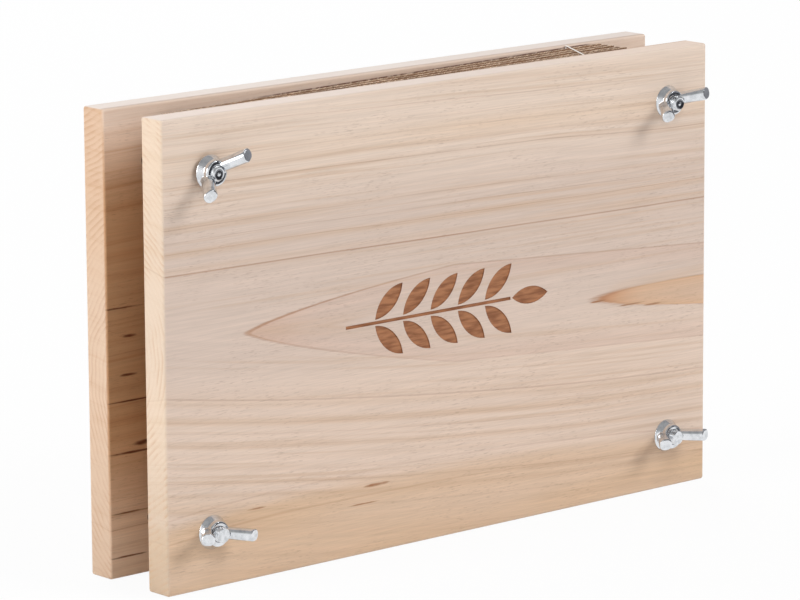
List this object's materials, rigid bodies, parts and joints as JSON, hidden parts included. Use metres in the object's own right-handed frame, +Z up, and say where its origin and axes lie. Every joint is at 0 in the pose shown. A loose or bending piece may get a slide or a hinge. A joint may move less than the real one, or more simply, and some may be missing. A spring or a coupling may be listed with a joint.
{
  "type": "flower press",
  "caption": "Wooden flower press: boards drawn together by wing nuts on corner bolts, pressing a stack of corrugated cards and blotting papers.",
  "frame": {"origin": "bottom centre of the whole press as it stands on the long lower edges of its boards", "axes": "+X along the boards, to the right as seen from the front; +Y from the front board to the rear board; +Z up"},
  "size_m": [0.28, 0.0644, 0.18],
  "materials": {
    "rear_wood": "planed and sanded pine, unvarnished",
    "front_wood": "planed and sanded pine, unvarnished",
    "zinc_bolt": "bright zinc plate",
    "zinc_nut": "bright zinc plate",
    "cardboard": "brown corrugated board",
    "blotting_paper": "matt, unsized",
    "white_elastic": "matt white elastic"
  },
  "bodies": {
    "rear_frame": {"rear_board": "rear_wood", "bolt_top_left": "zinc_bolt", "bolt_top_right": "zinc_bolt", "bolt_bottom_left": "zinc_bolt", "bolt_bottom_right": "zinc_bolt", "sheet_band": "white_elastic"},
    "front": {"front_board": "front_wood"},
    "nut_top_left": {"wing_nut_top_left": "zinc_nut"},
    "nut_top_right": {"wing_nut_top_right": "zinc_nut"},
    "nut_bottom_left": {"wing_nut_bottom_left": "zinc_nut"},
    "nut_bottom_right": {"wing_nut_bottom_right": "zinc_nut"},
    "card_1": {"card_1": "cardboard"},
    "paper_1": {"paper_1": "blotting_paper"},
    "paper_2": {"paper_2": "blotting_paper"},
    "paper_3": {"paper_3": "blotting_paper"},
    "card_2": {"card_2": "cardboard"},
    "paper_4": {"paper_4": "blotting_paper"},
    "paper_5": {"paper_5": "blotting_paper"},
    "paper_6": {"paper_6": "blotting_paper"},
    "card_3": {"card_3": "cardboard"},
    "paper_7": {"paper_7": "blotting_paper"},
    "paper_8": {"paper_8": "blotting_paper"},
    "paper_9": {"paper_9": "blotting_paper"},
    "card_4": {"card_4": "cardboard"},
    "paper_10": {"paper_10": "blotting_paper"},
    "paper_11": {"paper_11": "blotting_paper"},
    "paper_12": {"paper_12": "blotting_paper"},
    "card_5": {"card_5": "cardboard"},
    "paper_13": {"paper_13": "blotting_paper"},
    "paper_14": {"paper_14": "blotting_paper"},
    "paper_15": {"paper_15": "blotting_paper"},
    "card_6": {"card_6": "cardboard"}
  },
  "joints": [
    {"name": "front_board_slide", "type": "slide", "parent": "rear_frame", "child": "front", "axis": [0, -1, 0], "range_m": [-0.003, 0.005], "deforming": ["sheet_band"]},
    {"name": "top_left_nut_turn", "type": "hinge", "parent": "front", "child": "nut_top_left", "pos_m": [-0.1185, -0.01846, 0.1585], "axis": [0, -1, 0], "range_deg": [-1081, 1801]},
    {"name": "top_right_nut_turn", "type": "hinge", "parent": "front", "child": "nut_top_right", "pos_m": [0.1185, -0.01846, 0.1585], "axis": [0, -1, 0], "range_deg": [-1081, 1801]},
    {"name": "bottom_left_nut_turn", "type": "hinge", "parent": "front", "child": "nut_bottom_left", "pos_m": [-0.1185, -0.01846, 0.0215], "axis": [0, -1, 0], "range_deg": [-1081, 1801]},
    {"name": "bottom_right_nut_turn", "type": "hinge", "parent": "front", "child": "nut_bottom_right", "pos_m": [0.1185, -0.01846, 0.0215], "axis": [0, -1, 0], "range_deg": [-1081, 1801]},
    {"name": "card_1_slide", "type": "slide", "parent": "rear_frame", "child": "card_1", "axis": [0, -1, 0], "range_m": [-0.0011, 0.00183]},
    {"name": "paper_1_slide", "type": "slide", "parent": "rear_frame", "child": "paper_1", "axis": [0, -1, 0], "range_m": [-0.00118, 0.00197]},
    {"name": "paper_2_slide", "type": "slide", "parent": "rear_frame", "child": "paper_2", "axis": [0, -1, 0], "range_m": [-0.00126, 0.0021]},
    {"name": "paper_3_slide", "type": "slide", "parent": "rear_frame", "child": "paper_3", "axis": [0, -1, 0], "range_m": [-0.00134, 0.00223]},
    {"name": "card_2_slide", "type": "slide", "parent": "rear_frame", "child": "card_2", "axis": [0, -1, 0], "range_m": [-0.00142, 0.00237]},
    {"name": "paper_4_slide", "type": "slide", "parent": "rear_frame", "child": "paper_4", "axis": [0, -1, 0], "range_m": [-0.0015, 0.0025]},
    {"name": "paper_5_slide", "type": "slide", "parent": "rear_frame", "child": "paper_5", "axis": [0, -1, 0], "range_m": [-0.00158, 0.00263]},
    {"name": "paper_6_slide", "type": "slide", "parent": "rear_frame", "child": "paper_6", "axis": [0, -1, 0], "range_m": [-0.00166, 0.00277]},
    {"name": "card_3_slide", "type": "slide", "parent": "rear_frame", "child": "card_3", "axis": [0, -1, 0], "range_m": [-0.00174, 0.0029]},
    {"name": "paper_7_slide", "type": "slide", "parent": "rear_frame", "child": "paper_7", "axis": [0, -1, 0], "range_m": [-0.00182, 0.00303]},
    {"name": "paper_8_slide", "type": "slide", "parent": "rear_frame", "child": "paper_8", "axis": [0, -1, 0], "range_m": [-0.0019, 0.00317]},
    {"name": "paper_9_slide", "type": "slide", "parent": "rear_frame", "child": "paper_9", "axis": [0, -1, 0], "range_m": [-0.00198, 0.0033]},
    {"name": "card_4_slide", "type": "slide", "parent": "rear_frame", "child": "card_4", "axis": [0, -1, 0], "range_m": [-0.00206, 0.00343]},
    {"name": "paper_10_slide", "type": "slide", "parent": "rear_frame", "child": "paper_10", "axis": [0, -1, 0], "range_m": [-0.00214, 0.00357]},
    {"name": "paper_11_slide", "type": "slide", "parent": "rear_frame", "child": "paper_11", "axis": [0, -1, 0], "range_m": [-0.00222, 0.0037]},
    {"name": "paper_12_slide", "type": "slide", "parent": "rear_frame", "child": "paper_12", "axis": [0, -1, 0], "range_m": [-0.0023, 0.00383]},
    {"name": "card_5_slide", "type": "slide", "parent": "rear_frame", "child": "card_5", "axis": [0, -1, 0], "range_m": [-0.00238, 0.00397]},
    {"name": "paper_13_slide", "type": "slide", "parent": "rear_frame", "child": "paper_13", "axis": [0, -1, 0], "range_m": [-0.00246, 0.0041]},
    {"name": "paper_14_slide", "type": "slide", "parent": "rear_frame", "child": "paper_14", "axis": [0, -1, 0], "range_m": [-0.00254, 0.00423]},
    {"name": "paper_15_slide", "type": "slide", "parent": "rear_frame", "child": "paper_15", "axis": [0, -1, 0], "range_m": [-0.00262, 0.00437]},
    {"name": "card_6_slide", "type": "slide", "parent": "rear_frame", "child": "card_6", "axis": [0, -1, 0], "range_m": [-0.0027, 0.0045]}
  ],
  "couplings": [
    {"joint": "top_left_nut_turn", "follows": "front_board_slide", "rad_per_m": 6283.2},
    {"joint": "top_right_nut_turn", "follows": "front_board_slide", "rad_per_m": 6283.2},
    {"joint": "bottom_left_nut_turn", "follows": "front_board_slide", "rad_per_m": 6283.2},
    {"joint": "bottom_right_nut_turn", "follows": "front_board_slide", "rad_per_m": 6283.2},
    {"joint": "card_1_slide", "follows": "front_board_slide", "ratio": 0.36667},
    {"joint": "paper_1_slide", "follows": "front_board_slide", "ratio": 0.39333},
    {"joint": "paper_2_slide", "follows": "front_board_slide", "ratio": 0.42},
    {"joint": "paper_3_slide", "follows": "front_board_slide", "ratio": 0.44667},
    {"joint": "card_2_slide", "follows": "front_board_slide", "ratio": 0.47333},
    {"joint": "paper_4_slide", "follows": "front_board_slide", "ratio": 0.5},
    {"joint": "paper_5_slide", "follows": "front_board_slide", "ratio": 0.52667},
    {"joint": "paper_6_slide", "follows": "front_board_slide", "ratio": 0.55333},
    {"joint": "card_3_slide", "follows": "front_board_slide", "ratio": 0.58},
    {"joint": "paper_7_slide", "follows": "front_board_slide", "ratio": 0.60667},
    {"joint": "paper_8_slide", "follows": "front_board_slide", "ratio": 0.63333},
    {"joint": "paper_9_slide", "follows": "front_board_slide", "ratio": 0.66},
    {"joint": "card_4_slide", "follows": "front_board_slide", "ratio": 0.68667},
    {"joint": "paper_10_slide", "follows": "front_board_slide", "ratio": 0.71333},
    {"joint": "paper_11_slide", "follows": "front_board_slide", "ratio": 0.74},
    {"joint": "paper_12_slide", "follows": "front_board_slide", "ratio": 0.76667},
    {"joint": "card_5_slide", "follows": "front_board_slide", "ratio": 0.79333},
    {"joint": "paper_13_slide", "follows": "front_board_slide", "ratio": 0.82},
    {"joint": "paper_14_slide", "follows": "front_board_slide", "ratio": 0.84667},
    {"joint": "paper_15_slide", "follows": "front_board_slide", "ratio": 0.87333},
    {"joint": "card_6_slide", "follows": "front_board_slide", "ratio": 0.9}
  ]
}
